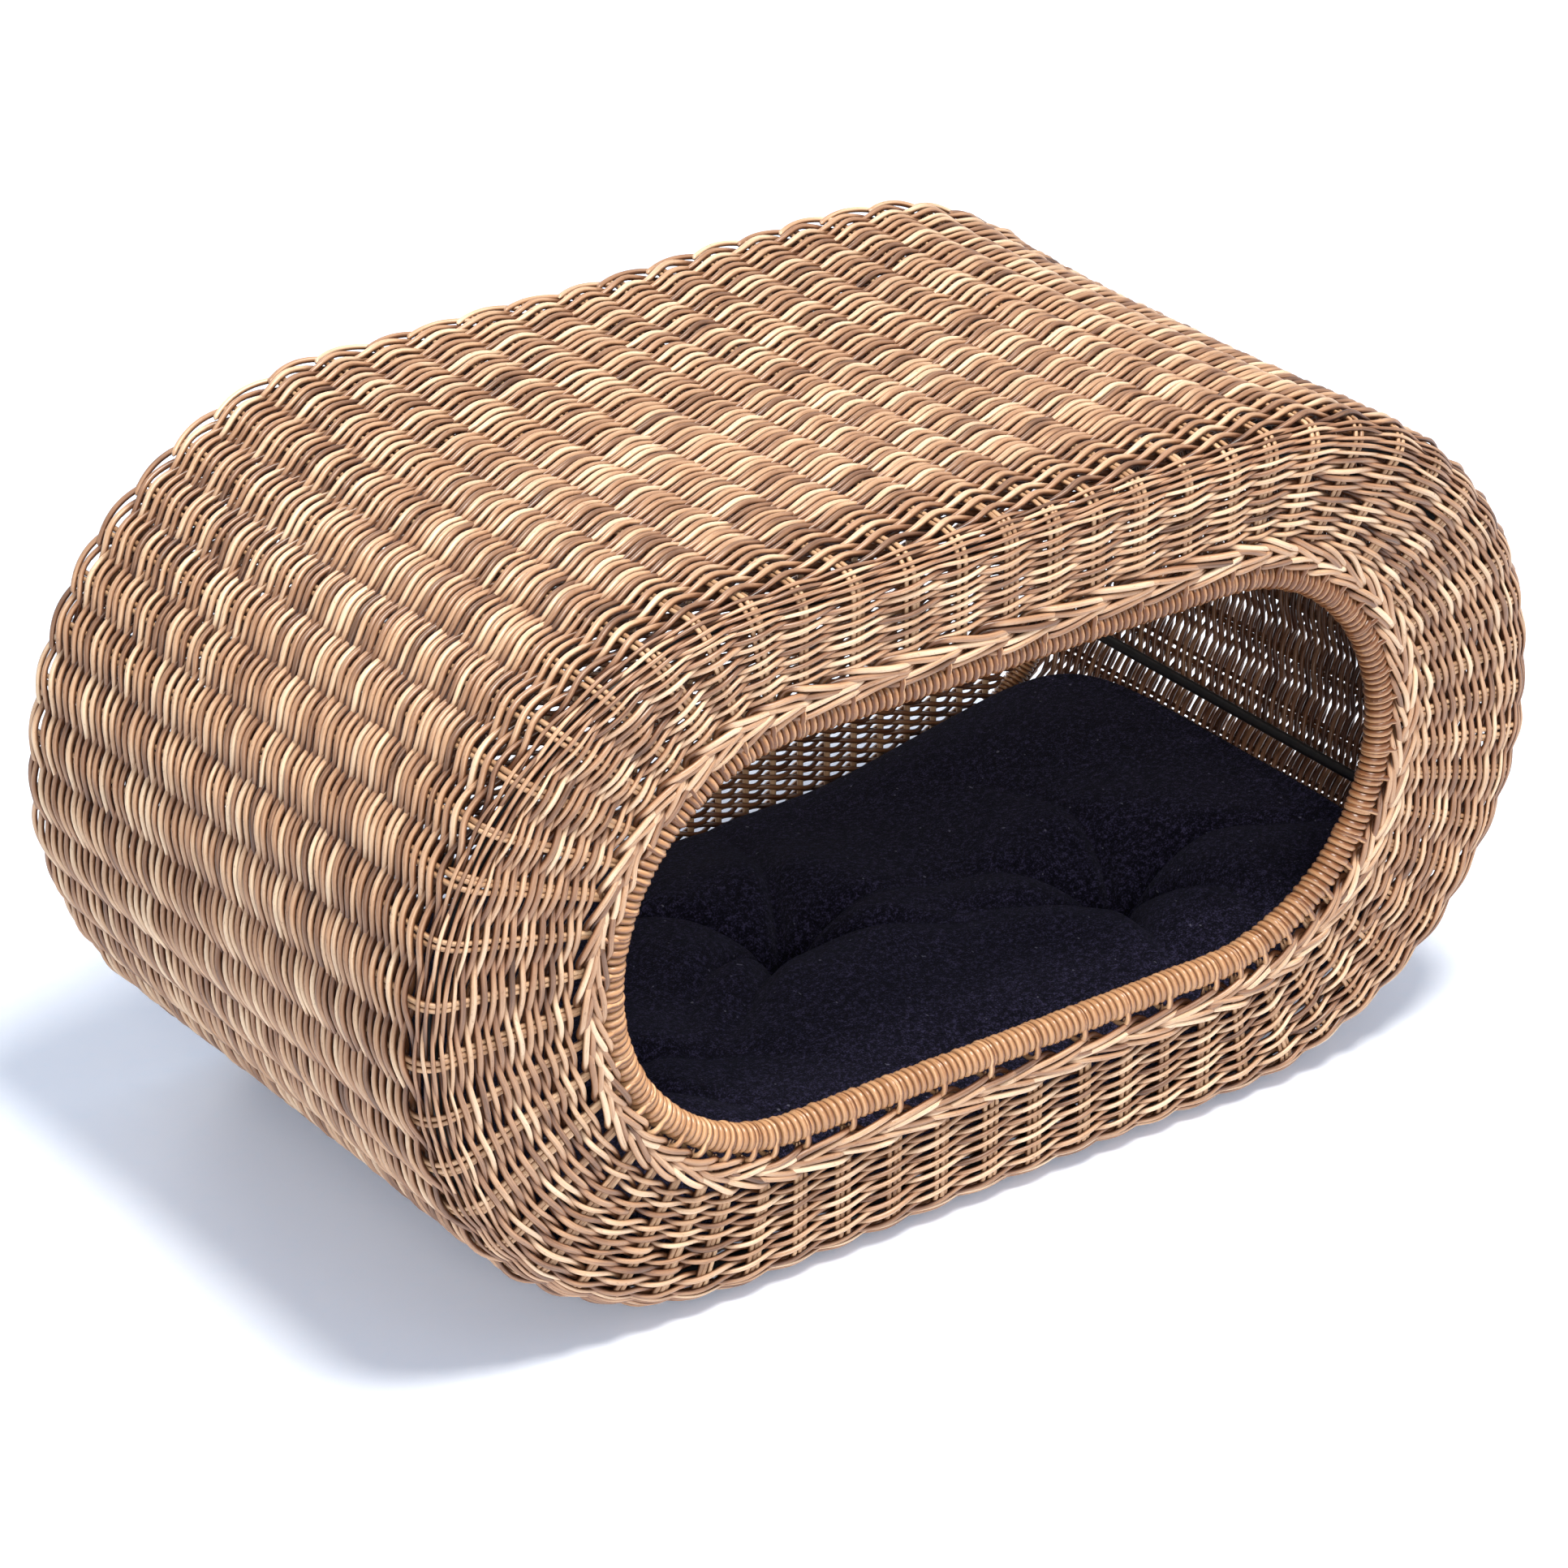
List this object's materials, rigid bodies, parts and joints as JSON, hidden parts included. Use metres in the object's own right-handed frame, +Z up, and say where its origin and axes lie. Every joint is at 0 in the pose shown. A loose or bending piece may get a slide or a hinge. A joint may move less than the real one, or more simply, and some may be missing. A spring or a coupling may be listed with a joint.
{
  "type": "wicker pet bed basket",
  "caption": "Woven cane pet bed: a low tunnel with rounded ends, closed at the back, a wrapped oval opening at the front and a loose tufted fleece cushion.",
  "frame": {"origin": "middle of the footprint, on the surface the basket stands on", "axes": "+X to the right as seen by someone facing the opening, +Y towards the closed back, +Z up"},
  "size_m": [0.5798, 0.305, 0.315],
  "materials": {
    "cane": "satin natural cane, each strand its own shade",
    "cane_wrap": "satin natural cane, wound tightly",
    "stake_cane": "natural cane rods, matt",
    "black_steel": "black satin paint on round steel wire",
    "fleece": "dark navy fleece with a short soft nap",
    "filling": "white polyester filling",
    "thread": "dark sewing thread"
  },
  "bodies": {
    "basket": {"side_weave": "cane", "front_weave": "cane", "back_weave": "cane", "back_border": "cane", "front_hoop": "black_steel", "back_hoop": "black_steel", "back_hoop_wrap": "cane_wrap", "frame_bar_lower_right": "black_steel", "frame_bar_upper_right": "black_steel", "frame_bar_lower_left": "black_steel", "frame_bar_upper_left": "black_steel", "opening_hoop": "black_steel", "opening_wrap": "cane_wrap", "opening_border": "cane", "opening_ties": "cane_wrap", "stakes_top": "stake_cane", "stakes_bottom": "stake_cane", "stakes_left": "stake_cane", "stakes_right": "stake_cane", "back_stakes": "stake_cane"},
    "cushion": {"cushion_cover": "fleece", "cushion_filling": "filling", "cushion_ties": "thread"}
  },
  "joints": [
    {"name": "cushion_lift", "type": "slide", "parent": "basket", "child": "cushion", "axis": [0, 0, 1], "range_m": [0, 0.1]}
  ]
}
